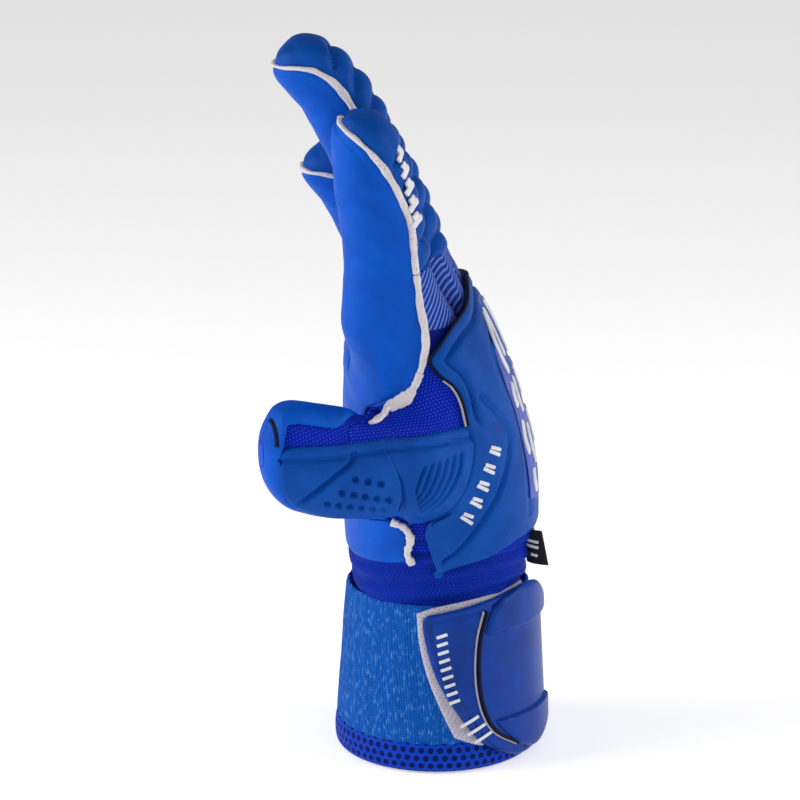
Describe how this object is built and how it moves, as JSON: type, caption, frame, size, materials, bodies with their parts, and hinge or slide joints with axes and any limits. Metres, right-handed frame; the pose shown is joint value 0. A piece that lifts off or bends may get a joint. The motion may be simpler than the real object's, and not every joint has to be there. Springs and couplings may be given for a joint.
{
  "type": "goalkeeper glove",
  "caption": "Right-hand goalkeeper glove with latex palm, padded back, hinged fingers and thumb, elastic wrist band and peel-open strap, standing on its cuff.",
  "frame": {"origin": "centre of the hand opening, on the plane that the cuff's hem rests on", "axes": "+Z to the fingertips, -X out of the palm, +X out of the back of the hand, -Y towards the thumb"},
  "size_m": [0.105, 0.1348, 0.2693],
  "materials": {
    "latex_palm": "smooth cut latex foam, satin",
    "latex_edge": "raw cut edge of latex foam, matt",
    "latex_back": "embossed latex foam, satin",
    "spacer_mesh": "three-layer spacer mesh with open cells",
    "elastic_web": "woven elastic with pale flecks",
    "lining_knit": "smooth warp knit",
    "sleeve_knit": "stretch knit with stitched rows",
    "loop_pile": "loop side of hook-and-loop, brushed",
    "moulded_strap": "moulded silicone-faced foam, satin",
    "twill_insert": "diagonal twill",
    "piping_cord": "folded piping with a dark edge",
    "hook_plastic": "hook side of hook-and-loop",
    "printed_knit": "knit with pale slanted print",
    "air_mesh": "air mesh with pale holes",
    "raised_print": "raised transfer print, matt",
    "woven_label": "folded woven label"
  },
  "bodies": {
    "cuff": {"cuff_hem": "spacer_mesh", "elastic_band": "elastic_web", "cuff_lining": "lining_knit", "wrist_sleeve": "sleeve_knit", "landing_patch": "loop_pile", "strap_anchor": "elastic_web"},
    "strap": {"strap_tab": "moulded_strap", "closure_frame": "moulded_strap", "closure_insert": "twill_insert", "tab_piping": "piping_cord", "hook_patch": "hook_plastic"},
    "hand": {"palm_latex": "latex_palm", "palm_heel": "latex_palm", "palm_seam": "latex_edge", "backhand_cover": "latex_back", "cover_piping": "piping_cord", "knuckle_knit": "printed_knit", "thumb_gusset": "air_mesh", "hand_lining": "lining_knit", "backhand_emblem": "raised_print", "label_tag": "woven_label"},
    "index_proximal": {"index_proximal_palm": "latex_palm", "index_proximal_seam": "latex_edge", "index_proximal_back": "latex_back"},
    "index_distal": {"index_distal_palm": "latex_palm", "index_distal_seam": "latex_edge", "index_distal_back": "latex_back"},
    "middle_proximal": {"middle_proximal_palm": "latex_palm", "middle_proximal_seam": "latex_edge", "middle_proximal_back": "latex_back"},
    "middle_distal": {"middle_distal_palm": "latex_palm", "middle_distal_seam": "latex_edge", "middle_distal_back": "latex_back"},
    "ring_proximal": {"ring_proximal_palm": "latex_palm", "ring_proximal_seam": "latex_edge", "ring_proximal_back": "latex_back"},
    "ring_distal": {"ring_distal_palm": "latex_palm", "ring_distal_seam": "latex_edge", "ring_distal_back": "latex_back"},
    "little_proximal": {"little_proximal_palm": "latex_palm", "little_proximal_seam": "latex_edge", "little_proximal_back": "latex_back"},
    "little_distal": {"little_distal_palm": "latex_palm", "little_distal_seam": "latex_edge", "little_distal_back": "latex_back"},
    "thumb_proximal": {"thumb_proximal_palm": "latex_palm", "thumb_proximal_seam": "latex_edge", "thumb_proximal_back": "latex_back"},
    "thumb_distal": {"thumb_distal_palm": "latex_palm", "thumb_distal_seam": "latex_edge", "thumb_distal_back": "latex_back"}
  },
  "joints": [
    {"name": "wrist_bend", "type": "hinge", "parent": "cuff", "child": "hand", "pos_m": [0, 0, 0.07], "axis": [0, -1, 0], "range_deg": [-12, 25], "stiffness_Nm_per_rad": 3},
    {"name": "strap_open", "type": "hinge", "parent": "cuff", "child": "strap", "pos_m": [0.0399, 0, 0.035], "axis": [0, 0, 1], "range_deg": [0, 110]},
    {"name": "index_knuckle", "type": "hinge", "parent": "hand", "child": "index_proximal", "pos_m": [-0.0095, -0.0396, 0.16], "axis": [0, -1, 0], "range_deg": [-10, 70], "stiffness_Nm_per_rad": 0.6},
    {"name": "index_middle_joint", "type": "hinge", "parent": "index_proximal", "child": "index_distal", "pos_m": [-0.0175, -0.03995, 0.203], "axis": [0, -1, 0], "range_deg": [0, 75], "stiffness_Nm_per_rad": 0.35},
    {"name": "middle_knuckle", "type": "hinge", "parent": "hand", "child": "middle_proximal", "pos_m": [-0.005, -0.0134, 0.16], "axis": [0, -1, 0], "range_deg": [-10, 70], "stiffness_Nm_per_rad": 0.6},
    {"name": "middle_middle_joint", "type": "hinge", "parent": "middle_proximal", "child": "middle_distal", "pos_m": [-0.017, -0.0135, 0.206], "axis": [0, -1, 0], "range_deg": [0, 75], "stiffness_Nm_per_rad": 0.35},
    {"name": "ring_knuckle", "type": "hinge", "parent": "hand", "child": "ring_proximal", "pos_m": [-0.0055, 0.0131, 0.16], "axis": [0, -1, 0], "range_deg": [-10, 70], "stiffness_Nm_per_rad": 0.6},
    {"name": "ring_middle_joint", "type": "hinge", "parent": "ring_proximal", "child": "ring_distal", "pos_m": [-0.016, 0.0132, 0.2005], "axis": [0, -1, 0], "range_deg": [0, 75], "stiffness_Nm_per_rad": 0.35},
    {"name": "little_knuckle", "type": "hinge", "parent": "hand", "child": "little_proximal", "pos_m": [-0.01, 0.0386, 0.15], "axis": [0, -1, 0], "range_deg": [-10, 70], "stiffness_Nm_per_rad": 0.6},
    {"name": "little_middle_joint", "type": "hinge", "parent": "little_proximal", "child": "little_distal", "pos_m": [-0.021, 0.0388, 0.184], "axis": [0, -1, 0], "range_deg": [0, 75], "stiffness_Nm_per_rad": 0.35},
    {"name": "thumb_base", "type": "hinge", "parent": "hand", "child": "thumb_proximal", "pos_m": [-0.004, -0.052, 0.124], "axis": [0, 0, 1], "range_deg": [-25, 12], "stiffness_Nm_per_rad": 0.6},
    {"name": "thumb_joint", "type": "hinge", "parent": "thumb_proximal", "child": "thumb_distal", "pos_m": [-0.03274, -0.06361, 0.124], "axis": [0, 0, 1], "range_deg": [-50, 10], "stiffness_Nm_per_rad": 0.35}
  ]
}
